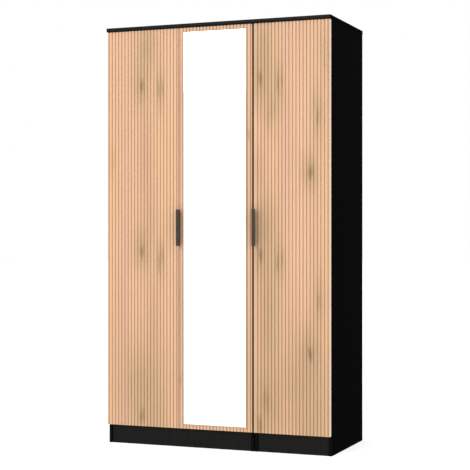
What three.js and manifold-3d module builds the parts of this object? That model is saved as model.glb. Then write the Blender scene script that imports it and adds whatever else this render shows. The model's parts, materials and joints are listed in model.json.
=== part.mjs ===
// A wardrobe with three fluted doors: a double and a single carcass stand side by side under one top.
// Millimetres, +Z up. Inside the wardrobe group X = 0 is the middle of the width, Y = 0 is the plane of
// the carcasses' front edges with +Y towards the back, and Z = 0 is the floor. The group is then moved
// along Y, so that the origin is the middle of the whole object's footprint.
import * as THREE from 'three';
import { mergeVertices } from 'three/addons/utils/BufferGeometryUtils.js';
import Module from 'manifold-3d';

const wasm = await Module();
wasm.setup();

// ---- Driving dimensions ----------------------------------------------------------------------------

const FIT = 0.3; // clearance between pieces that touch
const HEIGHT = 1970;
const BOARD = 15; // thickness of every carcass board
const TOP = { width: 1110, thickness: 18, front: -30, nose: 6 };
const CARCASS = { depth: 495, plinthHeight: 85, plinthSetback: 5 };
const SHELF = { height: 1650, setback: 22 };
const BACK = { thickness: 3, inset: 10 };
const RAIL = { tall: 30, thick: 15, wall: 1.2, height: 1600 };
const SOCKET = { base: 3, reach: 12, wall: 2.2, margin: 6 };
const JOINING_BOLT = { shank: 2.6, hole: 3.2, head: 7, headHeight: 1.6, spacer: 9, inset: 60 };
const BOLT_HEIGHTS = [500, 1450];

const DOOR = { thickness: 18, gap: 3, bottom: 89.5, top: 1950.5 };
const FLUTE = { pitch: 16.75, mouth: 5, floor: 3.4, depth: 3.5 };
const MIRROR = { width: 312, height: 1821, glass: 3, adhesive: 0.7, adhesiveMargin: 8 };
const HANDLE = { web: 4.7, lip: 16, lipThickness: 4, length: 168, proud: 31.5, inset: 0.2, bottom: 938.5 };
const SCREW = { head: 3.3, rim: 0.4, headDepth: 2.2, shank: 1.5, length: 20, fromEnd: 20, depth: 9.5 };

const HINGE_INSET = 100; // from the door's bottom and top edge to the outer hinges
const CUP = { centre: 20.5, outer: 17.2, inner: 16.2, bore: 17.5, boreFloor: 5.5, wall: 1 };
const WING = { near: 18, far: 35, half: 27, thickness: 1.2, round: 7 };
const PIN = { inboard: 7, depth: 9, radius: 0.9, half: 9.6 };
const EYE = { outer: 1.9, hole: 1.2 };
const ARM = { half: 4, thickness: 2, hookDepth: 8.6, hookEnd: 26, top: 27 };
const COVER = { start: 22, length: 64, half: 7.8, wall: 1.5, tall: 9, lead: 6 };
const PLATE = { half: 6, start: 15, end: 59, wingHalf: 25, wing: 2, wingStart: 31, wingEnd: 43 };

const CARCASSES = [
  { name: 'double', left: -554, right: 182.5 },
  { name: 'single', left: 187.5, right: 554 },
];
const DOORS = [
  { name: 'left_door', left: -552, right: -187, hungLeft: true, firstFlute: 6.6, flutes: 22 },
  { name: 'middle_door', left: -184.5, right: 180.5, hungLeft: false, firstFlute: 6.6, flutes: 22 },
  { name: 'right_door', left: 190, right: 552, hungLeft: false, firstFlute: 18.2, flutes: 21 },
];

const doorFace = -DOOR.gap - DOOR.thickness; // Y of the doors' front faces
const doorHeight = DOOR.top - DOOR.bottom;
const sideHeight = HEIGHT - TOP.thickness - FIT;
const backFace = CARCASS.depth - BACK.inset - BACK.thickness; // Y of the back panels' front faces
const hingeHeights = [DOOR.bottom + HINGE_INSET, (DOOR.bottom + DOOR.top) / 2, DOOR.top - HINGE_INSET];
const handleTop = HANDLE.bottom + HANDLE.length;
const screwHeights = [HANDLE.bottom + SCREW.fromEnd, handleTop - SCREW.fromEnd];

// ---- Materials -------------------------------------------------------------------------------------

function finish(color, roughness, metalness = 0) {
  return new THREE.MeshStandardMaterial({ color, roughness, metalness });
}

const blackBoard = finish(0x161616, 0.55);
const backBoard = finish(0x1d1c1b, 0.8);
const oak = finish(0xd9b08e, 0.6);
const mirrorGlass = finish(0xf2f4f4, 0.04, 1);
const adhesive = finish(0x8c8c88, 0.8);
const handleMetal = finish(0x4e463e, 0.4, 0.6);
const hingeSteel = finish(0xb9bcbe, 0.3, 1);
const railChrome = finish(0xd6d8da, 0.15, 1);
const socketPlastic = finish(0x2a2a2a, 0.5);

// ---- Shaping helpers -------------------------------------------------------------------------------

// A closed geometry as a solid that can be joined and cut.
function solid(geometry) {
  const bare = geometry.clone();
  bare.deleteAttribute('normal');
  bare.deleteAttribute('uv');
  const merged = mergeVertices(bare, 1e-4);
  const vertProperties = new Float32Array(merged.attributes.position.array);
  const triVerts = new Uint32Array(merged.index.array);
  return new wasm.Manifold(new wasm.Mesh({ numProp: 3, vertProperties, triVerts }));
}

function geometryOf(manifold) {
  const { vertProperties, triVerts } = manifold.getMesh();
  const geometry = new THREE.BufferGeometry();
  geometry.setAttribute('position', new THREE.BufferAttribute(new Float32Array(vertProperties), 3));
  geometry.setIndex(new THREE.BufferAttribute(new Uint32Array(triVerts), 1));
  geometry.computeVertexNormals();
  return geometry;
}

const join = (...geometries) => geometryOf(geometries.map(solid).reduce((whole, next) => whole.add(next)));

function cut(geometry, tools) {
  return geometryOf(tools.map(solid).reduce((rest, tool) => rest.subtract(tool), solid(geometry)));
}

// A box between two corners.
function boxBetween([x0, y0, z0], [x1, y1, z1]) {
  const box = new THREE.BoxGeometry(x1 - x0, y1 - y0, z1 - z0);
  return box.translate((x0 + x1) / 2, (y0 + y1) / 2, (z0 + z1) / 2);
}

// A round bar along Y.
function barAlongY(radius, x, y0, y1, z, segments = 14) {
  return new THREE.CylinderGeometry(radius, radius, y1 - y0, segments).translate(x, (y0 + y1) / 2, z);
}

// A round bar along X.
function barAlongX(radius, x0, x1, y, z, segments = 14) {
  const bar = new THREE.CylinderGeometry(radius, radius, x1 - x0, segments).rotateZ(Math.PI / 2);
  return bar.translate((x0 + x1) / 2, y, z);
}

// An outline, given as points or a Shape, made solid along Z from z0 to z1.
function prism(outline, z0, z1, curveSegments = 4) {
  const shape = outline instanceof THREE.Shape
    ? outline
    : new THREE.Shape(outline.map(([x, y]) => new THREE.Vector2(x, y)));
  const geometry = new THREE.ExtrudeGeometry(shape, { depth: z1 - z0, bevelEnabled: false, curveSegments });
  return geometry.translate(0, 0, z0);
}

// A rectangle with round corners, from one corner to the other.
function roundedRectangle(x0, y0, x1, y1, radius) {
  const shape = new THREE.Shape();
  shape.moveTo(x0 + radius, y0);
  shape.lineTo(x1 - radius, y0);
  shape.absarc(x1 - radius, y0 + radius, radius, -Math.PI / 2, 0);
  shape.lineTo(x1, y1 - radius);
  shape.absarc(x1 - radius, y1 - radius, radius, 0, Math.PI / 2);
  shape.lineTo(x0 + radius, y1);
  shape.absarc(x0 + radius, y1 - radius, radius, Math.PI / 2, Math.PI);
  shape.lineTo(x0, y0 + radius);
  shape.absarc(x0 + radius, y0 + radius, radius, Math.PI, 1.5 * Math.PI);
  return shape;
}

// An oval with straight sides, its long way along X, centred on the origin.
const oval = (long, short) => roundedRectangle(-long / 2, -short / 2, long / 2, short / 2, short / 2 - 1e-3);

function piece(parent, name, geometry, material) {
  const mesh = new THREE.Mesh(geometry, material);
  mesh.name = name;
  parent.add(mesh);
  return mesh;
}

function board(parent, name, low, high, material = blackBoard) {
  return piece(parent, name, boxBetween(low, high), material);
}

// ---- Carcasses -------------------------------------------------------------------------------------

// A side panel that stands on the floor, with holes where the two carcasses are bolted together.
function sidePanel(parent, name, x0, bolted) {
  const panel = boxBetween([x0, 0, 0], [x0 + BOARD, CARCASS.depth, sideHeight]);
  const { hole, inset } = JOINING_BOLT;
  const holes = BOLT_HEIGHTS.map((z) => barAlongX(hole, x0 - 1, x0 + BOARD + 1, inset, z));
  piece(parent, name, bolted ? cut(panel, holes) : panel, blackBoard);
}

// The cup on a side panel that takes one end of a hanging rail. It reaches along +X from its base.
function railSocket(parent, name, x, turned) {
  const rimLong = RAIL.tall + 2 * FIT + 2 * SOCKET.wall;
  const rimShort = RAIL.thick + 2 * FIT + 2 * SOCKET.wall;
  const base = prism(oval(rimLong + 2 * SOCKET.margin, rimShort + 2 * SOCKET.margin), 0, SOCKET.base);
  const rim = prism(oval(rimLong, rimShort), SOCKET.base / 2, SOCKET.reach);
  const mouth = prism(oval(RAIL.tall + 2 * FIT, RAIL.thick + 2 * FIT), SOCKET.base, SOCKET.reach + 1);
  const socket = piece(parent, name, cut(join(base, rim), [mouth]), socketPlastic);
  socket.position.set(x, backFace / 2, RAIL.height);
  socket.rotation.y = turned ? -Math.PI / 2 : Math.PI / 2;
}

function hangingRail(parent, name, x0, x1) {
  const section = oval(RAIL.tall, RAIL.thick);
  section.holes.push(oval(RAIL.tall - 2 * RAIL.wall, RAIL.thick - 2 * RAIL.wall));
  const rail = piece(parent, name, prism(section, 0, x1 - x0), railChrome);
  rail.position.set(x0, backFace / 2, RAIL.height);
  rail.rotation.y = Math.PI / 2;
}

function carcass(parent, { name, left, right }, boltedLeft, boltedRight) {
  const x0 = left + BOARD + FIT;
  const x1 = right - BOARD - FIT;
  const { plinthHeight, plinthSetback } = CARCASS;
  sidePanel(parent, `${name}_left_side`, left, boltedLeft);
  sidePanel(parent, `${name}_right_side`, right - BOARD, boltedRight);
  board(parent, `${name}_floor`, [x0, 0, plinthHeight], [x1, backFace - FIT, plinthHeight + BOARD]);
  board(parent, `${name}_plinth`, [x0, plinthSetback, 0], [x1, plinthSetback + BOARD, plinthHeight - FIT]);
  const shelfTop = SHELF.height + BOARD;
  board(parent, `${name}_hat_shelf`, [x0, SHELF.setback, SHELF.height], [x1, backFace - FIT, shelfTop]);
  const backRear = backFace + BACK.thickness;
  board(parent, `${name}_back`, [x0, backFace, plinthHeight], [x1, backRear, sideHeight], backBoard);
  railSocket(parent, `${name}_rail_socket_left`, x0, false);
  railSocket(parent, `${name}_rail_socket_right`, x1, true);
  const railStart = SOCKET.base + FIT;
  hangingRail(parent, `${name}_hanging_rail`, x0 + railStart, x1 - railStart);
}

// The bolts that hold the carcasses together, each with a spacer collar between the two panels.
function joiningBolts(parent, left, right) {
  const { shank, head, headHeight, spacer, inset } = JOINING_BOLT;
  BOLT_HEIGHTS.forEach((z, i) => {
    const geometry = join(
      barAlongX(shank, left - BOARD - FIT - 1, right + BOARD + FIT + 1, inset, z),
      barAlongX(head, left - BOARD - FIT - headHeight, left - BOARD - FIT, inset, z),
      barAlongX(spacer, left + FIT, right - FIT, inset, z),
      barAlongX(head, right + BOARD + FIT, right + BOARD + FIT + headHeight, inset, z),
    );
    piece(parent, `joining_bolt_${i + 1}`, geometry, hingeSteel);
  });
}

// One top over both carcasses, with a rounded front edge that stands out past the doors.
function topPanel(parent) {
  const { width, thickness, front, nose } = TOP;
  const section = new THREE.Shape();
  section.moveTo(CARCASS.depth, 0);
  section.lineTo(CARCASS.depth, thickness);
  section.lineTo(front + nose, thickness);
  section.absarc(front + nose, thickness - nose, nose, Math.PI / 2, Math.PI);
  section.absarc(front + nose, nose, nose, Math.PI, 1.5 * Math.PI);
  const geometry = prism(section, -width / 2, width / 2, 5).rotateX(Math.PI / 2).rotateZ(Math.PI / 2);
  piece(parent, 'top_panel', geometry, blackBoard).position.z = HEIGHT - thickness;
}

// ---- Doors -----------------------------------------------------------------------------------------

// A fluted slab from the origin to +X and +Y, front face at Y = 0, standing up along Z.
function doorSlab({ left, right, firstFlute, flutes }) {
  const width = right - left;
  const outline = [[0, DOOR.thickness], [width, DOOR.thickness], [width, 0]];
  for (let i = flutes - 1; i >= 0; i -= 1) {
    const x = firstFlute + i * FLUTE.pitch;
    outline.push([x + FLUTE.mouth / 2, 0], [x + FLUTE.floor / 2, FLUTE.depth]);
    outline.push([x - FLUTE.floor / 2, FLUTE.depth], [x - FLUTE.mouth / 2, 0]);
  }
  outline.push([0, 0]);
  return prism(outline, 0, doorHeight);
}

function door(parent, spec, hasHandle) {
  const width = spec.right - spec.left;
  const cupX = spec.hungLeft ? CUP.centre : width - CUP.centre;
  const tools = hingeHeights.map((z) => {
    return barAlongY(CUP.bore, cupX, CUP.boreFloor, DOOR.thickness + 1, z - DOOR.bottom, 24);
  });
  if (hasHandle) {
    const low = [-1, -1, HANDLE.bottom - FIT - DOOR.bottom];
    const high = [HANDLE.inset + HANDLE.web + FIT, DOOR.thickness + 1, handleTop + FIT - DOOR.bottom];
    tools.push(boxBetween(low, high));
    screwHeights.forEach((z) => tools.push(screw(HANDLE.inset, SCREW.depth, z - DOOR.bottom, FIT)));
  }
  const slab = piece(parent, spec.name, cut(doorSlab(spec), tools), oak);
  slab.position.set(spec.left, doorFace, DOOR.bottom);
}

// The silvered glass and the adhesive that bonds it to the door's flutes.
function mirror(parent, spec) {
  const x = (spec.left + spec.right) / 2;
  const z = (DOOR.bottom + DOOR.top) / 2;
  const layer = (name, back, thickness, margin, material) => {
    const halfWidth = MIRROR.width / 2 - margin;
    const halfHeight = MIRROR.height / 2 - margin;
    const low = [x - halfWidth, back - thickness, z - halfHeight];
    board(parent, name, low, [x + halfWidth, back, z + halfHeight], material);
  };
  const bond = doorFace - FIT;
  layer('mirror_adhesive', bond, MIRROR.adhesive, MIRROR.adhesiveMargin, adhesive);
  layer('mirror_glass', bond - MIRROR.adhesive - FIT, MIRROR.glass, 0, mirrorGlass);
}

// A countersunk screw that runs along +X from its head's face. With a gap it is the hole for the screw.
function screw(x, y, z, gap = 0) {
  const { head, rim, headDepth, shank, length } = SCREW;
  const mouth = gap > 0 ? -1 : 0;
  const turned = new THREE.LatheGeometry([
    new THREE.Vector2(0, mouth),
    new THREE.Vector2(head + gap, mouth),
    new THREE.Vector2(head + gap, rim + gap / 2),
    new THREE.Vector2(shank + gap, headDepth + gap / 2),
    new THREE.Vector2(shank + gap, length + gap),
    new THREE.Vector2(0, length + gap),
  ], 16);
  return join(turned.rotateZ(-Math.PI / 2).translate(x, y, z));
}

// An L-shaped edge handle: its web is let into the door's edge and stands out in front of the door, and
// its lip is folded in over the door. Two screws hold the web to the door's edge.
function handle(parent, spec) {
  const name = spec.name.replace('_door', '_handle');
  const { web, lip, lipThickness, proud, inset, bottom } = HANDLE;
  const x = spec.left + inset;
  const front = doorFace - proud;
  const profile = [
    [x, front],
    [x + lip, front],
    [x + lip, front + lipThickness],
    [x + web, front + lipThickness],
    [x + web, doorFace + DOOR.thickness],
    [x, doorFace + DOOR.thickness],
  ];
  const y = doorFace + SCREW.depth;
  const holes = screwHeights.map((z) => screw(x, y, z, FIT));
  piece(parent, name, cut(prism(profile, bottom, handleTop), holes), handleMetal);
  screwHeights.forEach((z, i) => piece(parent, `${name}_screw_${i + 1}`, screw(x, y, z), hingeSteel));
}

// ---- Hinges ----------------------------------------------------------------------------------------
// In a hinge's own group X runs inboard from the door's hung edge, Y runs back from the door's front face
// and Z = 0 is the hinge's middle. A hinge is alike above and below, so a door hung on the right turns
// the group half a turn about Y.

// The cup that is let into the door, its wings, and the pin across it.
function hingeCup(parent, name) {
  const wall = new THREE.LatheGeometry([
    new THREE.Vector2(0, CUP.boreFloor + FIT),
    new THREE.Vector2(CUP.outer, CUP.boreFloor + FIT),
    new THREE.Vector2(CUP.outer, DOOR.thickness + FIT + WING.thickness),
    new THREE.Vector2(CUP.inner, DOOR.thickness + FIT + WING.thickness),
    new THREE.Vector2(CUP.inner, CUP.boreFloor + FIT + CUP.wall),
    new THREE.Vector2(0, CUP.boreFloor + FIT + CUP.wall),
  ], 24).translate(CUP.centre, 0, 0);
  const { near, far, half, thickness, round } = WING;
  const wings = prism(roundedRectangle(near, -half, far, half, round), 0, thickness)
    .rotateX(Math.PI / 2)
    .translate(0, DOOR.thickness + FIT + thickness, 0);
  const mouth = barAlongY(CUP.inner, CUP.centre, DOOR.thickness - 1, DOOR.thickness + 3, 0, 24);
  const pin = new THREE.CylinderGeometry(PIN.radius, PIN.radius, 2 * PIN.half, 8)
    .rotateX(Math.PI / 2)
    .translate(PIN.inboard, PIN.depth, 0);
  piece(parent, name, join(cut(wings, [mouth]), wall, pin), hingeSteel);
}

// The arm: an eye around the pin, a hook that leaves the cup by its mouth, and a channel over the plate.
function hingeArm(parent, name) {
  const { half, thickness, hookDepth, hookEnd, top } = ARM;
  const nearFace = hookDepth - thickness / 2;
  const hook = prism([
    [PIN.inboard, nearFace],
    [top, nearFace],
    [top, hookEnd],
    [top - thickness, hookEnd],
    [top - thickness, nearFace + thickness],
    [PIN.inboard, nearFace + thickness],
  ], -half, half);
  const eye = new THREE.CylinderGeometry(EYE.outer, EYE.outer, 2 * half, 12).rotateX(Math.PI / 2);
  const hole = new THREE.CylinderGeometry(EYE.hole, EYE.hole, 2 * half + 2, 10).rotateX(Math.PI / 2);
  eye.translate(PIN.inboard, PIN.depth, 0);
  hole.translate(PIN.inboard, PIN.depth, 0);
  const { start, length, wall, tall, lead } = COVER;
  const end = start + length;
  const under = top - tall;
  const inside = COVER.half - wall;
  const cover = cut(boxBetween([under, start, -COVER.half], [top, end, COVER.half]), [
    boxBetween([under - 1, start - 1, -inside], [top - thickness, end + 1, inside]),
    boxBetween([under - 1, start - 1, -COVER.half - 1], [top - thickness, start + lead, COVER.half + 1]),
  ]);
  piece(parent, name, cut(join(hook, eye, cover), [hole]), hingeSteel);
}

// The plate screwed to the side panel, with the block that the arm clips over.
function hingePlate(parent, name) {
  const base = DOOR.thickness + DOOR.gap;
  const panel = BOARD - (DOORS[0].left - CARCASSES[0].left) + FIT;
  const under = ARM.top - ARM.thickness - FIT;
  const { half, start, end, wing, wingHalf, wingStart, wingEnd } = PLATE;
  const block = boxBetween([panel, base + start, -half], [under, base + end, half]);
  const wings = boxBetween([panel, base + wingStart, -wingHalf], [panel + wing, base + wingEnd, wingHalf]);
  piece(parent, name, join(block, wings), hingeSteel);
}

function hinges(parent, { name, left, right, hungLeft }) {
  hingeHeights.forEach((z, i) => {
    const hinge = new THREE.Group();
    hinge.position.set(hungLeft ? left : right, doorFace, z);
    hinge.rotation.y = hungLeft ? 0 : Math.PI;
    hingeCup(hinge, `${name}_hinge_cup_${i + 1}`);
    hingeArm(hinge, `${name}_hinge_arm_${i + 1}`);
    hingePlate(hinge, `${name}_hinge_plate_${i + 1}`);
    parent.add(hinge);
  });
}

// ---- Assembly --------------------------------------------------------------------------------------

const wardrobe = new THREE.Group();
const [double, single] = CARCASSES;
carcass(wardrobe, double, false, true);
carcass(wardrobe, single, true, false);
joiningBolts(wardrobe, double.right, single.left);
topPanel(wardrobe);
DOORS.forEach((spec) => {
  door(wardrobe, spec, !spec.hungLeft);
  hinges(wardrobe, spec);
  if (!spec.hungLeft) {
    handle(wardrobe, spec);
  }
});
mirror(wardrobe, DOORS[1]);

const frontmost = doorFace - HANDLE.proud;
wardrobe.position.y = -(frontmost + CARCASS.depth) / 2;

export default wardrobe;
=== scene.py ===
import json
import math

import bmesh
import bpy
from mathutils import Matrix, Vector


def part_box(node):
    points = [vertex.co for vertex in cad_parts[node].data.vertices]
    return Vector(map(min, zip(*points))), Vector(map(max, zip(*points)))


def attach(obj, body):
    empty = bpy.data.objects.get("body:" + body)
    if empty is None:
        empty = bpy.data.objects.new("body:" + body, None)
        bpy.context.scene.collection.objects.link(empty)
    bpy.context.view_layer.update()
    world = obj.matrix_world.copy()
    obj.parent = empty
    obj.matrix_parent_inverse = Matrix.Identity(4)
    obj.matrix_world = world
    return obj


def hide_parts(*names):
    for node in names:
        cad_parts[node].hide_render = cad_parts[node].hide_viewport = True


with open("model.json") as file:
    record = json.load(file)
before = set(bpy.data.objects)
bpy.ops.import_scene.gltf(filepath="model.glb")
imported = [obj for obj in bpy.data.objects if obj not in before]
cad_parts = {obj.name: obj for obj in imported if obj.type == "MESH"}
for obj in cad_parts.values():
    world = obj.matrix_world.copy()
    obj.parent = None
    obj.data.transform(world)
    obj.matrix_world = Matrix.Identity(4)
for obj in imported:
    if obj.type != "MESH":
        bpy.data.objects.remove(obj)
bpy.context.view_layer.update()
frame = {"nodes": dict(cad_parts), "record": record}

# ---- Places taken from the frame --------------------------------------------------------------------

CARCASSES = ("double", "single")
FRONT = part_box("right_door")[0].y  # the doors' front faces
CARCASS_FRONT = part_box("double_left_side")[0].y

# ---- Camera -----------------------------------------------------------------------------------------

AZIMUTH = math.radians(21.53)
DISTANCE = 6.003
AIM = Vector((0.0897, CARCASS_FRONT, 0.9886))
SENSOR = 36.0
FOCAL_LENGTH = 100.14


def make_camera():
    data = bpy.data.cameras.new("camera")
    data.sensor_width = SENSOR
    data.lens = FOCAL_LENGTH
    data.clip_end = 100
    camera = bpy.data.objects.new("camera", data)
    camera.location = AIM + DISTANCE * Vector((math.sin(AZIMUTH), -math.cos(AZIMUTH), 0))
    camera.rotation_euler = (math.pi / 2, 0, AZIMUTH)
    bpy.context.scene.collection.objects.link(camera)
    bpy.context.scene.camera = camera


# ---- Node graphs ------------------------------------------------------------------------------------


class Graph:
    """A node tree with short calls for the nodes that the materials here use."""

    def __init__(self, tree):
        self.tree = tree
        tree.nodes.clear()

    def node(self, kind, inputs=(), **settings):
        node = self.tree.nodes.new(kind)
        for name, value in settings.items():
            setattr(node, name, value)
        for socket, value in dict(inputs).items():
            self.put(node.inputs[socket], value)
        return node

    def put(self, socket, value):
        if isinstance(value, bpy.types.NodeSocket):
            self.tree.links.new(value, socket)
        elif value is not None:
            is_color = socket.type == "RGBA"
            socket.default_value = (*value, 1) if is_color and len(value) == 3 else value

    def math(self, operation, a, b=None, c=None, clamp=False):
        node = self.node("ShaderNodeMath", operation=operation, use_clamp=clamp)
        for i, value in enumerate((a, b, c)):
            self.put(node.inputs[i], value)
        return node.outputs[0]

    def place(self):
        """The point in the object's own space, in metres."""
        return self.node("ShaderNodeTexCoord").outputs["Object"]

    def split(self, vector):
        return self.node("ShaderNodeSeparateXYZ", {0: vector}).outputs

    def join(self, x, y, z):
        return self.node("ShaderNodeCombineXYZ", {0: x, 1: y, 2: z}).outputs[0]

    def stretch(self, vector, scale, shift=(0, 0, 0)):
        inputs = {"Vector": vector, "Scale": scale, "Location": shift}
        return self.node("ShaderNodeMapping", inputs).outputs[0]

    def noise(self, vector, scale=1.0, detail=3.0, roughness=0.5):
        inputs = {"Vector": vector, "Scale": scale, "Detail": detail, "Roughness": roughness}
        return self.node("ShaderNodeTexNoise", inputs).outputs["Fac"]

    def range(self, value, low, high, to_low=0.0, to_high=1.0, smooth=True):
        kind = "SMOOTHSTEP" if smooth else "LINEAR"
        inputs = {0: value, 1: low, 2: high, 3: to_low, 4: to_high}
        return self.node("ShaderNodeMapRange", inputs, interpolation_type=kind).outputs[0]

    def patch(self, point, x, z, half_width, half_height):
        """A soft oval spot on the X-Z plane: 1 at its middle, fading out past its half width and height."""
        scale = (1 / half_width, 0, 1 / half_height)
        offset = self.stretch(point, scale, (-x / half_width, 0, -z / half_height))
        square = self.node("ShaderNodeVectorMath", {0: offset, 1: offset}, operation="DOT_PRODUCT")
        return self.math("POWER", 1 / math.e, square.outputs["Value"])

    def mix(self, factor, a, b, blend="MIX"):
        node = self.node("ShaderNodeMix", data_type="RGBA", blend_type=blend)
        self.put(node.inputs[0], factor)
        self.put(node.inputs[6], a)
        self.put(node.inputs[7], b)
        return node.outputs[2]

    def bump(self, height, strength, distance):
        inputs = {"Height": height, "Strength": strength, "Distance": distance}
        return self.node("ShaderNodeBump", inputs).outputs[0]

    def surface(self, **values):
        """The shader: uniform values sit on its own sockets."""
        shader = self.node("ShaderNodeBsdfPrincipled")
        for name, value in values.items():
            self.put(shader.inputs[name.replace("_", " ")], value)
        output = self.node("ShaderNodeOutputMaterial")
        self.tree.links.new(shader.outputs[0], output.inputs[0])
        return shader


def new_material(name):
    material = bpy.data.materials.new(name)
    material.use_nodes = True
    return material, Graph(material.node_tree)


# ---- Materials --------------------------------------------------------------------------------------

PINK = (0.655, 0.404, 0.275)
BEIGE = (0.690, 0.438, 0.263)
OLIVE = (0.485, 0.325, 0.184)
MAUVE = (0.575, 0.346, 0.228)
CREAM = (0.715, 0.458, 0.312)
KNOT = (0.265, 0.165, 0.085)
# Painted shade for the flutes' hollows: the oak colour inside them is multiplied by this tone, at this
# strength.
FLUTE_SHADE = (0.72, 0.54, 0.38)
FLUTE_SHADE_STRENGTH = 0.66
SHADED_DEPTHS = (0.0004, 0.0018)  # the painted shade in the flutes fades in between these depths below the door's face
BORE_DEPTHS = (0.0048, 0.0044)  # and is gone past these, where the hinge bores begin
# The dark and the light tone of each of the other mottled finishes.
BAND_CREAM = ((0.80, 0.64, 0.475), (0.87, 0.715, 0.54))
# Painted shade: a darker copy of the edge band's tones, for the middle door's edges that sit in narrow gaps.
BAND_GAP_SHADE = ((0.29, 0.195, 0.11), (0.36, 0.245, 0.14))
BLACK_FOIL = ((0.0005, 0.0005, 0.0005), (0.0016, 0.0015, 0.0015))
# Painted light: a lighter copy of the black foil for the faces turned to the front, where the light and
# sheen fall.
FRONT_LIGHT_FOIL = ((0.0070, 0.0068, 0.0066), (0.0115, 0.0110, 0.0105))
LACQUER = ((0.030, 0.020, 0.012), (0.047, 0.032, 0.020))
NICKEL = ((0.46, 0.46, 0.45), (0.60, 0.60, 0.59))

# Each door's print. A cloud is its middle across and up the door, its half width and half height, in
# metres, then its tone and strength. A knot is its middle, half width, half height and strength.
PRINTS = {
    "left_door": (
        (
            (-0.350, 1.87, 0.055, 0.12, OLIVE, 0.90),
            (-0.375, 1.69, 0.042, 0.12, OLIVE, 0.80),
            (-0.276, 1.66, 0.022, 0.10, OLIVE, 0.65),
            (-0.355, 1.34, 0.040, 0.28, MAUVE, 0.80),
            (-0.330, 1.05, 0.040, 0.20, MAUVE, 0.60),
            (-0.223, 1.45, 0.030, 0.50, BEIGE, 1.00),
            (-0.520, 1.25, 0.020, 0.35, BEIGE, 0.60),
            (-0.528, 1.34, 0.012, 0.07, OLIVE, 0.50),
            (-0.375, 0.93, 0.040, 0.11, OLIVE, 0.80),
            (-0.274, 0.87, 0.022, 0.10, OLIVE, 0.60),
            (-0.310, 0.60, 0.040, 0.20, MAUVE, 0.60),
            (-0.365, 0.28, 0.120, 0.22, OLIVE, 0.90),
            (-0.300, 0.10, 0.050, 0.14, OLIVE, 0.60),
        ),
        (
            (-0.373, 1.695, 0.0140, 0.042, 0.95),
            (-0.286, 1.665, 0.0065, 0.055, 0.70),
            (-0.266, 1.675, 0.0060, 0.045, 0.60),
            (-0.373, 0.912, 0.0140, 0.040, 0.90),
            (-0.284, 0.870, 0.0065, 0.055, 0.70),
            (-0.266, 0.885, 0.0060, 0.045, 0.55),
            (-0.372, 0.137, 0.0190, 0.050, 0.80),
        ),
    ),
    "middle_door": (
        (
            (-0.160, 1.60, 0.030, 0.25, MAUVE, 0.70),
            (-0.170, 0.60, 0.030, 0.30, OLIVE, 0.45),
            (0.170, 1.20, 0.025, 0.40, MAUVE, 0.60),
            (0.160, 0.35, 0.040, 0.30, OLIVE, 0.50),
            (0.000, 1.10, 0.080, 0.70, BEIGE, 0.50),
        ),
        (
            (0.165, 1.450, 0.0060, 0.030, 0.40),
            (-0.175, 0.310, 0.0070, 0.034, 0.45),
        ),
    ),
    "right_door": (
        (
            (0.235, 1.82, 0.050, 0.20, OLIVE, 0.95),
            (0.225, 1.69, 0.050, 0.12, OLIVE, 0.75),
            (0.271, 1.56, 0.035, 0.09, OLIVE, 0.80),
            (0.316, 1.67, 0.026, 0.11, OLIVE, 0.65),
            (0.214, 1.28, 0.035, 0.12, MAUVE, 0.85),
            (0.250, 1.03, 0.055, 0.14, OLIVE, 0.90),
            (0.225, 0.89, 0.045, 0.12, OLIVE, 0.70),
            (0.260, 0.62, 0.065, 0.35, OLIVE, 0.85),
            (0.316, 0.87, 0.026, 0.10, OLIVE, 0.65),
            (0.390, 0.95, 0.060, 0.30, CREAM, 0.75),
            (0.400, 1.55, 0.060, 0.25, CREAM, 0.50),
            (0.495, 1.53, 0.028, 0.12, OLIVE, 0.70),
            (0.530, 1.80, 0.030, 0.12, OLIVE, 0.50),
            (0.461, 1.27, 0.032, 0.08, OLIVE, 0.85),
            (0.500, 0.69, 0.028, 0.12, OLIVE, 0.70),
            (0.461, 0.46, 0.040, 0.10, OLIVE, 0.85),
            (0.430, 0.32, 0.110, 0.22, OLIVE, 0.80),
            (0.255, 0.22, 0.070, 0.16, OLIVE, 1.00),
            (0.470, 0.10, 0.090, 0.18, OLIVE, 0.70),
        ),
        (
            (0.222, 1.700, 0.0150, 0.044, 0.95),
            (0.304, 1.675, 0.0065, 0.055, 0.70),
            (0.327, 1.685, 0.0060, 0.045, 0.60),
            (0.222, 0.900, 0.0150, 0.042, 0.95),
            (0.304, 0.865, 0.0065, 0.055, 0.70),
            (0.327, 0.885, 0.0060, 0.045, 0.60),
            (0.492, 1.520, 0.0080, 0.055, 0.60),
            (0.461, 1.268, 0.0170, 0.038, 1.00),
            (0.498, 0.690, 0.0080, 0.055, 0.55),
            (0.461, 0.455, 0.0170, 0.038, 1.00),
            (0.250, 0.235, 0.0240, 0.070, 0.50),
            (0.219, 0.120, 0.0150, 0.050, 0.85),
        ),
    ),
}


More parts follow.
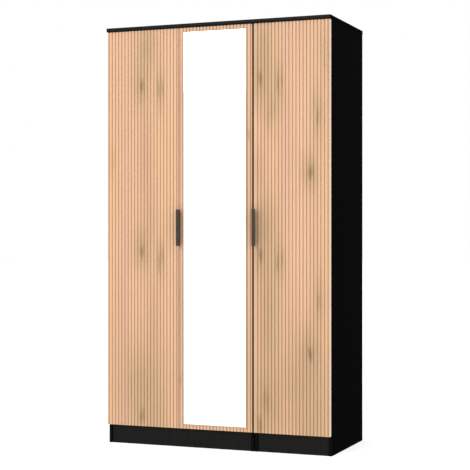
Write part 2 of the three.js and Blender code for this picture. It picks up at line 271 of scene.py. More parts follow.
def oak(name, clouds, knots):
    """Light oak foil: upright grain, soft clouds of colour, feathered knots, pores, and painted shade in the
    flutes.
    """
    material, g = new_material(name)
    place = g.place()
    x, y, z = g.split(place)
    # Clouds and knots end in feathers along the grain, and the grain waves a little on its way up.
    feather = g.math("SUBTRACT", g.noise(g.stretch(place, (170, 20, 3)), 1, 3, 0.6), 0.5)
    wave = g.math("SUBTRACT", g.noise(g.stretch(place, (7, 7, 1.8)), 1, 2), 0.5)
    swell = g.math("SUBTRACT", g.noise(g.stretch(place, (26, 9, 5)), 1, 3), 0.5)
    sway = g.math("ADD", g.math("MULTIPLY", wave, 0.030), g.math("MULTIPLY", swell, 0.030))
    soft_x = g.math("ADD", x, sway)
    soft_z = g.math("ADD", z, g.math("MULTIPLY", feather, 0.16))
    soft = g.join(soft_x, 0.0, soft_z)
    near_knots = 0.0
    for knot_x, knot_z, half_width, half_height, strength in knots:
        wide = g.patch(place, knot_x, knot_z, 3 * half_width, 2 * half_height)
        near_knots = g.math("MULTIPLY_ADD", wide, strength, near_knots)
    bend = g.math("ADD", g.math("MULTIPLY", near_knots, 0.008), g.math("MULTIPLY", wave, 0.030))
    grain = g.join(g.math("ADD", x, bend), y, z)
    bands = g.noise(g.stretch(grain, (16, 4, 0.5)), 1, 2, 0.5)
    streaks = g.noise(g.stretch(grain, (95, 20, 1.2), (3.1, 0, 0)), 1, 3, 0.6)
    fine = g.noise(g.stretch(grain, (620, 120, 8)), 1, 3, 0.6)
    pores = g.noise(g.stretch(grain, (1900, 400, 34)), 1, 2, 0.5)
    color = g.mix(g.range(bands, 0.38, 0.62), PINK, BEIGE)
    for cloud_x, cloud_z, half_width, half_height, tone, strength in clouds:
        cloud = g.patch(soft, cloud_x, cloud_z, half_width, half_height)
        color = g.mix(g.math("MULTIPLY", cloud, strength), color, tone)
    color = g.mix(g.range(streaks, 0.55, 0.80, 0, 0.40), color, CREAM)
    color = g.mix(g.range(streaks, 0.45, 0.22, 0, 0.45), color, OLIVE)
    frayed_x = g.math("ADD", x, g.math("MULTIPLY", swell, 0.010))
    frayed = g.join(frayed_x, 0.0, g.math("ADD", z, g.math("MULTIPLY", feather, 0.11)))
    for knot_x, knot_z, half_width, half_height, strength in knots:
        halo = g.patch(frayed, knot_x, knot_z, 2.1 * half_width, 1.7 * half_height)
        heart = g.patch(frayed, knot_x, knot_z, half_width, half_height)
        color = g.mix(g.math("MULTIPLY", halo, 0.75 * strength), color, OLIVE)
        color = g.mix(g.math("MULTIPLY", g.range(heart, 0.25, 1.0), 0.80 * strength), color, KNOT)
    color = g.mix(g.range(fine, 0.35, 0.70, 0.20, 0.0), color, OLIVE)
    color = g.mix(g.range(pores, 0.60, 0.72, 0, 0.30), color, KNOT)
    # Painted shade: the colour is darkened inside the flutes, between the shaded depths, where real shade
    # falls.
    depth = g.math("SUBTRACT", y, FRONT)
    flute_shade_mask = g.math("MULTIPLY", g.range(depth, *SHADED_DEPTHS), g.range(depth, *BORE_DEPTHS))
    color = g.mix(g.math("MULTIPLY", flute_shade_mask, FLUTE_SHADE_STRENGTH), color, FLUTE_SHADE, "MULTIPLY")
    relief = g.math("ADD", g.math("MULTIPLY", fine, 0.6), g.math("MULTIPLY", pores, -0.8))
    g.surface(
        Base_Color=color,
        Roughness=g.range(fine, 0.3, 0.7, 0.46, 0.58),
        Specular_IOR_Level=0.35,
        Normal=g.bump(relief, 0.35, 0.0003),
    )
    return material


def oak_edge_band(name, tones):
    """The strip that closes a door's narrow edges, with its own fine grain."""
    material, g = new_material(name)
    place = g.place()
    grain = g.noise(g.stretch(place, (420, 420, 9)), 1, 3, 0.6)
    pores = g.noise(g.stretch(place, (1500, 1500, 40)), 1, 2)
    color = g.mix(g.range(grain, 0.3, 0.7), *tones)
    g.surface(
        Base_Color=g.mix(g.range(pores, 0.60, 0.72, 0, 0.30), color, KNOT),
        Roughness=g.range(grain, 0.3, 0.7, 0.48, 0.60),
        Specular_IOR_Level=0.35,
        Normal=g.bump(grain, 0.3, 0.0002),
    )
    return material


def black_board(name, dark, light):
    """Black foil with a faint upright grain pressed into it."""
    material, g = new_material(name)
    place = g.place()
    fibres = g.noise(g.stretch(place, (520, 520, 9)), 1, 3, 0.6)
    cloud = g.noise(g.stretch(place, (7, 7, 3)), 1, 3, 0.5)
    g.surface(
        Base_Color=g.mix(g.range(fibres, 0.3, 0.7), dark, light),
        Roughness=g.math("ADD", g.range(cloud, 0.3, 0.7, 0.28, 0.34), g.math("MULTIPLY", fibres, 0.08)),
        Specular_IOR_Level=0.06,
        Normal=g.bump(fibres, 0.25, 0.0003),
    )
    return material


def back_board():
    """Thin hardboard with a dark printed face."""
    material, g = new_material("dark_hardboard")
    place = g.place()
    fluff = g.noise(place, 260, 4, 0.6)
    g.surface(
        Base_Color=g.mix(g.range(fluff, 0.3, 0.7), (0.006, 0.006, 0.006), (0.012, 0.011, 0.010)),
        Roughness=g.range(fluff, 0.3, 0.7, 0.7, 0.85),
        Specular_IOR_Level=0.15,
        Normal=g.bump(fluff, 0.3, 0.0003),
    )
    return material


def mirror_silver():
    material, g = new_material("silvered_glass")
    haze = g.noise(g.place(), 14, 3, 0.5)
    g.surface(
        Base_Color=(0.97, 0.98, 0.98),
        Metallic=1.0,
        Roughness=g.range(haze, 0.3, 0.7, 0.012, 0.022),
    )
    return material


def glass_edge():
    material, g = new_material("polished_glass_edge")
    ripple = g.noise(g.stretch(g.place(), (300, 300, 60)), 1, 2)
    g.surface(
        Base_Color=g.mix(g.range(ripple, 0.3, 0.7), (0.22, 0.29, 0.26), (0.34, 0.42, 0.38)),
        Roughness=g.range(ripple, 0.3, 0.7, 0.08, 0.16),
    )
    return material


def satin_metal(name, dark, light, rough, metallic, speck, bump):
    """Metal or lacquer with fine specks and a soft variation of its gloss."""
    material, g = new_material(name)
    place = g.place()
    specks = g.noise(place, speck, 2, 0.6)
    cloud = g.noise(place, 45, 3, 0.5)
    g.surface(
        Base_Color=g.mix(g.range(specks, 0.35, 0.65), dark, light),
        Metallic=metallic,
        Roughness=g.range(cloud, 0.3, 0.7, rough - 0.05, rough + 0.07),
        Normal=g.bump(specks, bump, 0.0001),
    )
    return material


def brushed_metal(name, color, rough):
    """Metal drawn along X, with fine scratches."""
    material, g = new_material(name)
    place = g.place()
    scratches = g.noise(g.stretch(place, (18, 900, 900)), 1, 3, 0.6)
    smears = g.noise(place, 22, 3, 0.5)
    dark = tuple(0.8 * c for c in color)
    smeared = g.range(smears, 0.3, 0.7, rough, rough + 0.08)
    g.surface(
        Base_Color=g.mix(g.range(smears, 0.3, 0.7), dark, color),
        Metallic=1.0,
        Roughness=g.math("ADD", smeared, g.math("MULTIPLY", scratches, 0.08)),
        Normal=g.bump(scratches, 0.08, 0.0001),
    )
    return material


def moulded_plastic(name, color, rough):
    material, g = new_material(name)
    grit = g.noise(g.place(), 1500, 2, 0.6)
    dark = tuple(0.8 * c for c in color)
    g.surface(
        Base_Color=g.mix(g.range(grit, 0.3, 0.7), dark, color),
        Roughness=g.range(grit, 0.3, 0.7, rough - 0.06, rough + 0.06),
        Normal=g.bump(grit, 0.15, 0.0001),
    )
    return material


def make_materials():
    """The materials by slot, and by node where a node has its own."""
    # Painted light: the plinths and the top's front face take the lighter copy of the black foil.
    front_light_foil = black_board("black_foil_painted_front_light", *FRONT_LIGHT_FOIL)
    return {
        "black_board": black_board("black_foil", *BLACK_FOIL),
        "double_plinth": front_light_foil,
        "single_plinth": front_light_foil,
        "top_panel": front_light_foil,
        "back_board": back_board(),
        "pale_band": oak_edge_band("pale_edge_band", BAND_CREAM),
        # Painted shade: the darker copy of the edge band, standing in for the shade in the gaps beside the
        # middle door.
        "gap_shaded_band": oak_edge_band("gap_shaded_edge_band", BAND_GAP_SHADE),
        **{door: oak(f"oak_foil_{door}", *PRINTS[door]) for door in PRINTS},
        "mirror": mirror_silver(),
        "glass_edge": glass_edge(),
        "mirror_adhesive": moulded_plastic("grey_foam_tape", (0.12, 0.12, 0.115), 0.8),
        "handle_metal": satin_metal("brown_grey_lacquer", *LACQUER, 0.42, 0.35, 900, 0.12),
        "hinge_steel": satin_metal("nickel_plate", *NICKEL, 0.26, 1, 500, 0.05),
        "rail_chrome": brushed_metal("chromed_tube", (0.66, 0.67, 0.68), 0.10),
        "socket_plastic": moulded_plastic("black_moulding", (0.02, 0.02, 0.02), 0.5),
        "clear_bumper": moulded_plastic("clear_silicone", (0.60, 0.60, 0.58), 0.35),
    }


# ---- Mesh building ----------------------------------------------------------------------------------

MM = 0.001


def turned(axis):
    """A turn that points local +Z along the given axis."""
    turns = {"+X": (90, "Y"), "-X": (-90, "Y"), "+Y": (-90, "X"), "-Z": (180, "X"), "+Z": (0, "X")}
    degrees, about = turns[axis]
    return Matrix.Rotation(math.radians(degrees), 4, about)


def at(x, y, z, axis="+Z"):
    return Matrix.Translation((x, y, z)) @ turned(axis)


def rounded(corners, steps=6):
    """A closed outline through (x, y, radius) corners, with an arc at each corner that has a radius."""
    outline = []
    for i, (x, y, radius) in enumerate(corners):
        corner = Vector((x, y))
        before = (Vector(corners[i - 1][:2]) - corner).normalized()
        after = (Vector(corners[(i + 1) % len(corners)][:2]) - corner).normalized()
        if radius == 0:
            outline.append(corner)
            continue
        half = before.angle(after) / 2
        centre = corner + (before + after).normalized() * (radius / math.sin(half))
        spoke = corner + before * (radius / math.tan(half)) - centre
        sweep = math.pi - 2 * half
        if before.x * after.y - before.y * after.x > 0:
            sweep = -sweep
        for k in range(steps + 1):
            outline.append(centre + Matrix.Rotation(sweep * k / steps, 2) @ spoke)
    return outline


def oval(long, short, steps=16):
    """An outline with straight sides and round ends, its long way along X."""
    radius = short / 2 - 1e-6
    corners = ((-1, -1), (1, -1), (1, 1), (-1, 1))
    return rounded([(long / 2 * x, short / 2 * y, radius) for x, y in corners], steps)


def circle(radius, segments=40, x=0.0, y=0.0):
    turns = [2 * math.pi * k / segments for k in range(segments)]
    return [Vector((x + radius * math.cos(turn), y + radius * math.sin(turn))) for turn in turns]


def ring_at(bm, outline, height, matrix):
    return [bm.verts.new(matrix @ Vector((point[0], point[1], height))) for point in outline]


def bridge(bm, low, high):
    """Closes the band between two rings of as many points each, or between a ring and one point."""
    count = max(len(low), len(high))
    for k in range(count):
        j = (k + 1) % count
        corners = [low[k % len(low)], low[j % len(low)], high[j % len(high)], high[k % len(high)]]
        bm.faces.new(list(dict.fromkeys(corners)))


def fill(bm, *rings):
    """Fills a flat face whose edge is the first ring and whose holes are the others."""
    edges = []
    for ring in rings:
        for a, b in zip(ring, ring[1:] + ring[:1]):
            edges.append(bm.edges.get((a, b)) or bm.edges.new((a, b)))
    bmesh.ops.triangle_fill(bm, edges=edges, use_beauty=True)


def spin(bm, profile, matrix, segments=40):
    """Adds a closed round form from (radius, height) points, which run from the axis back to the axis."""
    rings = []
    for radius, height in profile:
        outline = circle(radius, segments) if radius else [Vector((0, 0))]
        rings.append(ring_at(bm, outline, height, matrix))
    for low, high in zip(rings, rings[1:]):
        bridge(bm, low, high)


def prism(bm, outline, low, high, matrix, holes=()):
    """Adds a plate between two heights, with holes through it."""
    floors = [ring_at(bm, ring, low, matrix) for ring in (outline, *holes)]
    lids = [ring_at(bm, ring, high, matrix) for ring in (outline, *holes)]
    for floor, lid in zip(floors, lids):
        bridge(bm, floor, lid)
    fill(bm, *floors)
    fill(bm, *lids)


def dome(radius, rise, angles):
    """The profile of a low dome: a quarter of an ellipse, closed at the axis."""
    return [(0, 0), *((radius * math.cos(a), rise * math.sin(a)) for a in angles), (0, rise)]


def screw_head(bm, radius, rise, matrix, recess=0.6, segments=32):
    """Adds a pan head with a cross recess, standing up along Z."""
    profile = ((radius, 0), (radius, 0.3 * rise), (0.92 * radius, 0.75 * rise), (0.74 * radius, rise))
    rings = [ring_at(bm, circle(size, segments), height, matrix) for size, height in profile]
    for low, high in zip(rings, rings[1:]):
        bridge(bm, low, high)
    arm, half = 0.52 * radius, 0.13 * radius
    quarter = ((arm, -half), (arm, half), (half, half))
    turns = ((1, 0), (0, 1), (-1, 0), (0, -1))
    cross = [(x * c - y * s, x * s + y * c) for c, s in turns for x, y in quarter]
    mouth = ring_at(bm, cross, rise, matrix)
    floor = ring_at(bm, [(0.8 * x, 0.8 * y) for x, y in cross], rise * (1 - recess), matrix)
    bridge(bm, mouth, floor)
    fill(bm, rings[0])
    fill(bm, rings[-1], mouth)
    fill(bm, floor)


def finish_piece(name, bm, body, materials, replaced=(), ease=0.0, smooth=35):
    """Makes a piece from a bmesh: its faces look outward, and its sharp edges are eased."""
    bmesh.ops.recalc_face_normals(bm, faces=bm.faces)
    mesh = bpy.data.meshes.new(name)
    bm.to_mesh(mesh)
    bm.free()
    for material in materials:
        mesh.materials.append(material)
    mesh.shade_smooth()
    mesh.set_sharp_from_angle(angle=math.radians(smooth))
    piece = bpy.data.objects.new(name, mesh)
    bpy.context.scene.collection.objects.link(piece)
    if ease:
        bevel = piece.modifiers.new("ease", "BEVEL")
        bevel.width = ease
        bevel.segments = 3
        bevel.limit_method = "ANGLE"
        bevel.angle_limit = math.radians(50)
        bevel.harden_normals = True
    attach(piece, body)
    if replaced:
        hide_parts(*replaced)
    return piece


# ---- Doors ------------------------------------------------------------------------------------------

FLUTE_PITCH = 16.75 * MM
FLUTE_MOUTH = 5.4 * MM
FLUTE_FLOOR = 3.2 * MM
FLUTE_DEPTH = 3.5 * MM
FLUTE_LIP = 0.9 * MM
FLUTE_CORNER = 1.1 * MM
# Which side each door is hung on, its first flute's place from its left edge, and how many flutes.
DOORS = {
    "left_door": ("left", 6.6 * MM, 22),
    "middle_door": ("right", 6.6 * MM, 22),
    "right_door": ("right", 18.2 * MM, 21),
}
CUP_BORE = 17.5 * MM
CUP_INBOARD = 20.5 * MM  # from a door's hung edge to the middle of its cups
FIT = 0.3 * MM  # clearance between pieces that touch


def middle(node):
    low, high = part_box(node)
    return (low + high) / 2


def blind_bores(door, low, high):
    """The bores in a door's back for the hinge cups: (x, z, radius, y of the floor)."""
    bores = []
    for i in (1, 2, 3):
        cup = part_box(f"{door}_hinge_cup_{i}")
        x = low.x + CUP_INBOARD if DOORS[door][0] == "left" else high.x - CUP_INBOARD
        bores.append((x, (cup[0].z + cup[1].z) / 2, CUP_BORE, cup[0].y - FIT))
    return bores


def fluted_door(door, materials):
    """A door with rounded flutes down its front, banded edges, and bores in its back."""
    low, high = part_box(door)
    _, first, count = DOORS[door]
    corner = 0.6 * MM
    corners = [(low.x, low.y, corner)]
    for i in range(count):
        x = low.x + first + i * FLUTE_PITCH
        for side in (-1, 1):
            lip = (x + side * FLUTE_MOUTH / 2, low.y, FLUTE_LIP)
            foot = (x + side * FLUTE_FLOOR / 2, low.y + FLUTE_DEPTH, FLUTE_CORNER)
            corners += [lip, foot] if side < 0 else [foot, lip]
    corners += [(high.x, low.y, corner), (high.x, high.y, 0), (low.x, high.y, 0)]
    outline = rounded(corners, 4)
    bm = bmesh.new()
    floor = ring_at(bm, outline, low.z, Matrix())
    lid = ring_at(bm, outline, high.z, Matrix())
    walls = len(outline)
    for k in range(walls):
        j = (k + 1) % walls
        if k != walls - 2:
            bm.faces.new((floor[k], floor[j], lid[j], lid[k]))
    bm.faces.new(floor)
    bm.faces.new(lid)
    rims = []
    for x, z, radius, bottom in blind_bores(door, low, high):
        place = at(x, 0, z, "+Y")
        rim = ring_at(bm, circle(radius), high.y, place)
        base = ring_at(bm, circle(radius), bottom, place)
        bridge(bm, rim, base)
        fill(bm, base)
        rims.append(rim)
    fill(bm, [floor[-2], floor[-1], lid[-1], lid[-2]], *rims)
    bmesh.ops.recalc_face_normals(bm, faces=bm.faces)
    for face in bm.faces:
        middle_y = face.calc_center_median().y
        across = abs(face.normal.x) > 0.9 and middle_y > low.y + FLUTE_DEPTH
        if across or abs(face.normal.z) > 0.9:
            face.material_index = 1
    # The middle door takes the darker band, painted shade for the narrow gaps its edges sit in.
    band = materials["gap_shaded_band" if door == "middle_door" else "pale_band"]
    finish_piece(f"{door}_slab", bm, door, (materials[door], band), (door,), 0.35 * MM, 30)


def mirror(materials):
    """The mirror: silvered glass whose edges are ground at a slant and polished."""
    low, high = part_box("mirror_glass")
    slant, slant_depth, arris = 1.5 * MM, 0.8 * MM, 0.5 * MM
    steps = ((high.y, arris), (high.y - arris, 0), (low.y + slant_depth, 0), (low.y, slant))
    bm = bmesh.new()
    rings = []
    for y, inset in steps:
        corners = ((low.x + inset, low.z + inset), (high.x - inset, low.z + inset),
                   (high.x - inset, high.z - inset), (low.x + inset, high.z - inset))
        rings.append([bm.verts.new((x, y, z)) for x, z in corners])
    bm.faces.new(rings[0])
    bm.faces.new(rings[-1])
    for back, front in zip(rings, rings[1:]):
        bridge(bm, back, front)
    for face in bm.faces:
        face.material_index = 0 if len({round(v.co.y, 5) for v in face.verts}) == 1 else 1
    glass = (materials["mirror"], materials["glass_edge"])
    finish_piece("mirror_plate", bm, "middle_door", glass, ("mirror_glass",), 0, 10)


def edge_handle(door, materials):
    """A folded handle on a door's edge: a web, a lip over the door, and the two screws through the web."""
    node = door.replace("_door", "_handle")
    low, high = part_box(node)
    web, lip, proud = 4.7 * MM, 4 * MM, 0.15 * MM
    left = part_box(door)[0].x - proud
    back = high.y + proud
    corners = (
        (left, back, 0),
        (left, low.y, 1.6 * MM),
        (high.x, low.y, 1.4 * MM),
        (high.x, low.y + lip, 1.4 * MM),
        (low.x + web, low.y + lip, 1.2 * MM),
        (low.x + web, back, 0),
    )
    lacquer = (materials["handle_metal"],)
    bm = bmesh.new()
    prism(bm, rounded(corners, 8), low.z, high.z, Matrix())
    finish_piece(f"{node}_profile", bm, door, lacquer, (node,), 0.6 * MM)
    head, rise, shank, tip = 3.3 * MM, 0.5 * MM, 1.5 * MM, 3 * MM
    for i in (1, 2):
        screw = f"{node}_screw_{i}"
        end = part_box(screw)[1].x
        centre = middle(screw)
        body = ((0, left), (shank, left), (shank, end - tip), (0, end))
        bm = bmesh.new()
        screw_head(bm, head, rise, at(left, centre.y, centre.z, "-X"), 0.8)
        spin(bm, body, at(0, centre.y, centre.z, "+X"), 24)
        finish_piece(f"{screw}_turned", bm, door, (materials["hinge_steel"],), (screw,))


def door_bumpers(materials):
    """Small soft domes on the doors' backs, where the doors meet the carcasses."""
    bumper = dome(4 * MM, 2.2 * MM, (0, 0.3, 0.6, 0.9, 1.2, 1.4))
    inset, above_foot, below_head = 7 * MM, 5 * MM, 60 * MM
    for door, (hung, _, _) in DOORS.items():
        low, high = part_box(door)
        x = high.x - inset if hung == "left" else low.x + inset
        heights = [low.z + above_foot]
        if door == "right_door":
            heights.append(high.z - below_head)
        bm = bmesh.new()
        for z in heights:
            spin(bm, bumper, at(x, high.y, z, "+Y"), 24)
        finish_piece(f"{door}_bumpers", bm, door, (materials["clear_bumper"],))


# ---- Hinges -----------------------------------------------------------------------------------------
# In a hinge's own space X runs inboard from the door's hung edge, Y runs back from the door's front
# face, and Z = 0 is the hinge's middle.

CUP_CENTRE = CUP_INBOARD / MM
CUP_FRONT = 5.8
CUP_BACK = 19.5
CUP_OUTER = 17.2
CUP_INNER = 16.2
EAR = {"near": 18, "far": 35, "reach": 27, "round": 7, "front": 18.3}
PIN = {"inboard": 7, "depth": 9, "radius": 0.9, "half": 9.6}
ARM_FACE = 27
ARM_SCREWS = (34, 62)
PLATE_FACE = 15.3
PLATE_SCREW = (58, 19)
EAR_SCREW = (CUP_CENTRE + 6, 21.8)
# Each kind of screw's head: its radius and its rise.
EAR_HEAD = (3.4, 1.3)
ARM_HEAD = (3.6, 0.9)
PLATE_HEAD = (3.8, 1.6)


def hinge_space(door, i):
    low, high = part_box(door)
    height = middle(f"{door}_hinge_cup_{i}").z
    if DOORS[door][0] == "left":
        return Matrix.Translation((low.x, low.y, height)) @ Matrix.Scale(MM, 4)
    turn = Matrix.Rotation(math.pi, 4, "Y")
    return Matrix.Translation((high.x, low.y, height)) @ turn @ Matrix.Scale(MM, 4)


def ear_outline(side):
    """One ear of the cup's flange: it hugs the cup, and its two outer corners are round."""
    near = math.acos((EAR["near"] - CUP_CENTRE) / CUP_OUTER)
    far = math.acos((EAR["far"] - CUP_CENTRE) / CUP_OUTER)
    steps = 12
    turns = [far + (near - far) * k / steps for k in range(steps + 1)]
    hug = [(CUP_CENTRE + CUP_OUTER * math.cos(turn), CUP_OUTER * math.sin(turn), 0) for turn in turns]
    corners = hug + [(EAR["near"], EAR["reach"], EAR["round"]), (EAR["far"], EAR["reach"], EAR["round"])]
    return [(point.x, side * point.y) for point in rounded(corners, 8)]


def hinge_cup(door, i, material):
    """The pressed cup with its flange ears and their two screws, and the pin across it."""
    space = hinge_space(door, i)
    rim = 0.3
    profile = (
        (0, CUP_FRONT),
        (CUP_OUTER - 1.4, CUP_FRONT),
        (CUP_OUTER - 0.4, CUP_FRONT + 0.5),
        (CUP_OUTER, CUP_FRONT + 1.5),
        (CUP_OUTER, CUP_BACK - rim),
        (CUP_OUTER - rim, CUP_BACK),
        (CUP_INNER + rim, CUP_BACK),
        (CUP_INNER, CUP_BACK - rim),
        (CUP_INNER, CUP_FRONT + 2.2),
        (CUP_INNER - 1, CUP_FRONT + 1.2),
        (0, CUP_FRONT + 1),
    )
    bm = bmesh.new()
    spin(bm, profile, space @ at(CUP_CENTRE, 0, 0, "+Y"), 64)
    flat = Matrix(((1, 0, 0, 0), (0, 0, 1, 0), (0, 1, 0, 0), (0, 0, 0, 1)))
    ear_back = CUP_BACK - 0.1
    inboard, spread = EAR_SCREW
    for side in (-1, 1):
        prism(bm, ear_outline(side), EAR["front"], ear_back, space @ flat)
        screw_head(bm, *EAR_HEAD, space @ at(inboard, ear_back, side * spread, "+Y"))
    pin = ((0, -PIN["half"]), (PIN["radius"], -PIN["half"]), (PIN["radius"], PIN["half"]), (0, PIN["half"]))
    spin(bm, pin, space @ at(PIN["inboard"], PIN["depth"], 0), 20)
    node = f"{door}_hinge_cup_{i}"
    finish_piece(f"{node}_pressing", bm, door, (material,), (node,))


def hinge_screws(door, i, material):
    """The adjusting screws in a hinge's arm, and the screws that hold its plate to the side panel."""
    space = hinge_space(door, i)
    bm = bmesh.new()
    for depth in ARM_SCREWS:
        screw_head(bm, *ARM_HEAD, space @ at(ARM_FACE, depth, 0, "+X"))
    depth, spread = PLATE_SCREW
    for side in (-1, 1):
        screw_head(bm, *PLATE_HEAD, space @ at(PLATE_FACE, depth, side * spread, "+X"))
    finish_piece(f"{door}_hinge_screws_{i}", bm, "carcass", (material,))


# ---- Carcass fittings -------------------------------------------------------------------------------


RAIL_WALL = 1.2 * MM
SOCKET_BASE = 3 * MM
SOCKET_WALL = 2.2 * MM
SOCKET_SCREW_EDGE = 3.2 * MM  # from a socket's end to the middle of its screw
SOCKET_HEAD = (2.4 * MM, 1.1 * MM)  # the screw head's radius and rise


def hanging_rail(carcass, materials):
    """A drawn oval tube, and the two moulded sockets that hold it, each with its two screws."""
    node = f"{carcass}_hanging_rail"
    low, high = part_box(node)
    centre = middle(node)
    tall, thick = high.z - low.z, high.y - low.y
    upright = Matrix(((0, 0, 1, 0), (0, 1, 0, centre.y), (1, 0, 0, centre.z), (0, 0, 0, 1)))
    chrome = (materials["rail_chrome"],)
    hollow = oval(tall - 2 * RAIL_WALL, thick - 2 * RAIL_WALL)
    bm = bmesh.new()
    prism(bm, oval(tall, thick), low.x, high.x, upright, [hollow])
    finish_piece(f"{node}_tube", bm, "carcass", chrome, (node,), 0.2 * MM)
    for side in ("left", "right"):
        rail_socket(f"{carcass}_rail_socket_{side}", side, tall, thick, upright, materials)


def rail_socket(node, side, tall, thick, upright, materials):
    """One moulded socket around the end of a rail's section, and its two screws."""
    low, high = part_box(node)
    centre = (low + high) / 2
    start, inward, axis = (low.x, 1, "+X") if side == "left" else (high.x, -1, "-X")
    face = start + inward * SOCKET_BASE
    root = start + inward * 0.8 * SOCKET_BASE
    end = start + inward * (high.x - low.x)
    inner = oval(tall + 2 * FIT, thick + 2 * FIT)
    outer = oval(tall + 2 * (FIT + SOCKET_WALL), thick + 2 * (FIT + SOCKET_WALL))
    plastic = (materials["socket_plastic"],)
    bm = bmesh.new()
    prism(bm, oval(high.z - low.z, high.y - low.y), *sorted((start, face)), upright)
    prism(bm, outer, *sorted((root, end)), upright, [inner])
    finish_piece(f"{node}_moulding", bm, "carcass", plastic, (node,), 0.6 * MM)
    bm = bmesh.new()
    for z in (low.z + SOCKET_SCREW_EDGE, high.z - SOCKET_SCREW_EDGE):
        screw_head(bm, *SOCKET_HEAD, at(face, centre.y, z, axis))
    finish_piece(f"{node}_screws", bm, "carcass", (materials["hinge_steel"],))


def joining_bolt(i, materials):
    """A bolt with a flat round head on each side, and the collar that spaces the two panels."""
    node = f"joining_bolt_{i}"
    low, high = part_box(node)
    centre = middle(node)
    head, rise, collar, shank = 7 * MM, 1.6 * MM, 9 * MM, 2.6 * MM
    gap = (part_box("double_right_side")[1].x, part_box("single_left_side")[0].x)
    rods = ((shank, low.x + rise, high.x - rise), (collar, gap[0] + FIT, gap[1] - FIT))
    steel = (materials["hinge_steel"],)
    bm = bmesh.new()
    for radius, start, end in rods:
        rod = ((0, start), (radius, start), (radius, end), (0, end))
        spin(bm, rod, at(0, centre.y, centre.z, "+X"))
    screw_head(bm, head, rise, at(high.x - rise, centre.y, centre.z, "+X"))
    screw_head(bm, head, rise, at(low.x + rise, centre.y, centre.z, "-X"))
    finish_piece(f"{node}_pair", bm, "carcass", steel, (node,), 0.2 * MM)


def top_board(materials):
    """The shared top, whose front edge is rounded above and below."""
    low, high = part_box("top_panel")
    nose, tail = 6 * MM, 0.6 * MM
    corners = ((low.y, low.z, nose), (high.y, low.z, tail), (high.y, high.z, tail), (low.y, high.z, nose))
    place = Matrix(((0, 0, 1, 0), (1, 0, 0, 0), (0, 1, 0, 0), (0, 0, 0, 1)))
    bm = bmesh.new()
    prism(bm, rounded(corners, 12), low.x, high.x, place)
    bmesh.ops.recalc_face_normals(bm, faces=bm.faces)
    # Faces turned to the front take the lighter black foil, which is painted light.
    for face in bm.faces:
        face.material_index = 1 if face.normal.y < -0.1 else 0
    foils = (materials["black_board"], materials["top_panel"])
    finish_piece("top_board", bm, "carcass", foils, ("top_panel",), 0.6 * MM)


def cam_fittings(carcass, materials):
    """The cams that draw the hat shelf and the floor tight to the side panels, seen from below."""
    radius, rise, inset, from_end = 7 * MM, 0.6 * MM, 24 * MM, 60 * MM
    bm = bmesh.new()
    for board in ("hat_shelf", "floor"):
        low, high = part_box(f"{carcass}_{board}")
        for x in (low.x + inset, high.x - inset):
            for y in (low.y + from_end, high.y - from_end):
                screw_head(bm, radius, rise, at(x, y, low.z, "-Z"), 0.7)
    finish_piece(f"{carcass}_cam_fittings", bm, "carcass", (materials["hinge_steel"],))


def back_pins(carcass, materials):
    """Pins that hold the back panel to the rear edges of the floor and the hat shelf."""
    low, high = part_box(f"{carcass}_back")
    head = dome(1.9 * MM, 0.7 * MM, (0, 0.4, 0.8, 1.2))
    pitch = 95 * MM
    count = round((high.x - low.x) / pitch)
    bm = bmesh.new()
    for board in ("floor", "hat_shelf"):
        z = middle(f"{carcass}_{board}").z
        for k in range(count):
            x = low.x + (high.x - low.x) * (k + 0.5) / count
            spin(bm, head, at(x, high.y, z, "+Y"), 20)
    finish_piece(f"{carcass}_back_pins", bm, "carcass", (materials["hinge_steel"],))


# ---- CAD nodes that stay ----------------------------------------------------------------------------


# How far the sharp edges of the CAD nodes that stay are eased, and in how many steps.
EASING = {"black_board": (0.0007, 2), "back_board": (0.0003, 1), "hinge_steel": (0.00012, 2)}


def ease_edges(node, width, segments):
    """Rounds a CAD node's sharp edges. Its flat faces are made whole first, so only real edges are eased."""
    weld = node.modifiers.new("weld", "WELD")
    weld.merge_threshold = 2e-5
    flats = node.modifiers.new("flats", "DECIMATE")
    flats.decimate_type = "DISSOLVE"
    flats.angle_limit = math.radians(0.5)
    bevel = node.modifiers.new("ease", "BEVEL")
    bevel.width = width
    bevel.segments = segments
    bevel.limit_method = "ANGLE"
    bevel.angle_limit = math.radians(30)
    bevel.use_clamp_overlap = False


def dress_cad_nodes(materials):
    """Gives each CAD node its own material, or the one of its slot."""
    for row in frame["record"]["subparts"]:
        node = frame["nodes"][row["node"]]
        slot = row["material_slot"]
        node.data.materials.clear()
        node.data.materials.append(materials.get(row["node"], materials.get(slot)))
        if slot in EASING:
            ease_edges(node, *EASING[slot])


# ---- Studio -----------------------------------------------------------------------------------------


AMBIENT = 0.008
# Each soft light of the studio: where it comes from, its strength, and how tight it is.
SOFTBOXES = (
    ((-0.20, -0.95, 0.22), 2.0, 6),
    ((0.97, -0.22, 0.12), 2.0, 4),
    ((0.0, -0.1, 1.0), 1.1, 3),
    ((-0.75, 0.65, 0.1), 0.5, 4),
)


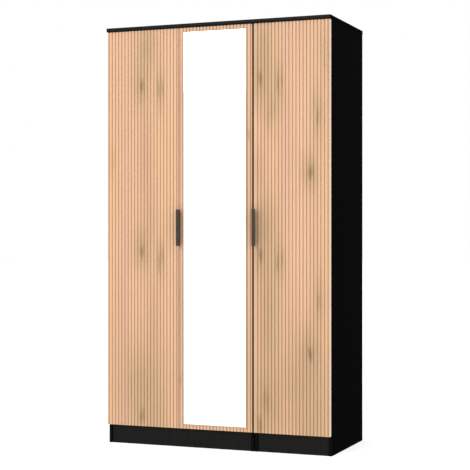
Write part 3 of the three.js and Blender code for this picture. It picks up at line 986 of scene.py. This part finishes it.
def make_world():
    """A white studio lit by broad soft lights, and plain white where it is the background."""
    world = bpy.data.worlds.new("studio")
    world.use_nodes = True
    bpy.context.scene.world = world
    g = Graph(world.node_tree)
    direction = g.node("ShaderNodeTexCoord").outputs["Generated"]
    glow = AMBIENT
    for towards, strength, tightness in SOFTBOXES:
        pair = {0: direction, 1: Vector(towards).normalized()}
        facing = g.node("ShaderNodeVectorMath", pair, operation="DOT_PRODUCT")
        lobe = g.math("POWER", g.math("MAXIMUM", facing.outputs["Value"], 0.0), tightness)
        glow = g.math("MULTIPLY_ADD", lobe, strength, glow)
    light = g.node("ShaderNodeBackground", {"Color": (1, 1, 1), "Strength": glow})
    plain = g.node("ShaderNodeBackground", {"Color": (1, 1, 1), "Strength": 1.0})
    seen = g.node("ShaderNodeLightPath").outputs["Is Camera Ray"]
    both = g.node("ShaderNodeMixShader", {0: seen, 1: light.outputs[0], 2: plain.outputs[0]})
    output = g.node("ShaderNodeOutputWorld")
    world.node_tree.links.new(both.outputs[0], output.inputs[0])


def make_key_light():
    """A broad light in front and above, so that the doors darken a little towards the floor."""
    data = bpy.data.lights.new("key", "AREA")
    data.shape = "RECTANGLE"
    data.size = 2.2
    data.size_y = 1.4
    data.energy = 22
    key = bpy.data.objects.new("key", data)
    key.location = (-0.9, FRONT - 3.2, 2.7)
    aim = Vector((0, FRONT, 1.5)) - key.location
    key.rotation_euler = aim.to_track_quat("-Z", "Y").to_euler()
    bpy.context.scene.collection.objects.link(key)


def make_floor():
    """A plain pale floor, lifted a little by its own glow so that it meets the white background."""
    mesh = bpy.data.meshes.new("floor")
    half = 40
    corners = [(-half, -half, 0), (half, -half, 0), (half, half, 0), (-half, half, 0)]
    mesh.from_pydata(corners, [], [(0, 1, 2, 3)])
    floor = bpy.data.objects.new("floor", mesh)
    bpy.context.scene.collection.objects.link(floor)
    material, g = new_material("pale_floor")
    g.surface(Base_Color=(0.9, 0.9, 0.9), Roughness=0.9, Specular_IOR_Level=0.0,
              Emission_Color=(1, 1, 1), Emission_Strength=0.5)
    mesh.materials.append(material)
    floor.visible_glossy = False


# ---- Assembly ---------------------------------------------------------------------------------------

make_camera()
make_world()
make_key_light()
make_floor()
bpy.context.scene.view_settings.view_transform = "Standard"
MATERIALS = make_materials()
dress_cad_nodes(MATERIALS)
top_board(MATERIALS)
for door in DOORS:
    fluted_door(door, MATERIALS)
    for number in (1, 2, 3):
        hinge_cup(door, number, MATERIALS["hinge_steel"])
        hinge_screws(door, number, MATERIALS["hinge_steel"])
for door in ("middle_door", "right_door"):
    edge_handle(door, MATERIALS)
mirror(MATERIALS)
door_bumpers(MATERIALS)
for carcass in CARCASSES:
    hanging_rail(carcass, MATERIALS)
    cam_fittings(carcass, MATERIALS)
    back_pins(carcass, MATERIALS)
for number in (1, 2):
    joining_bolt(number, MATERIALS)
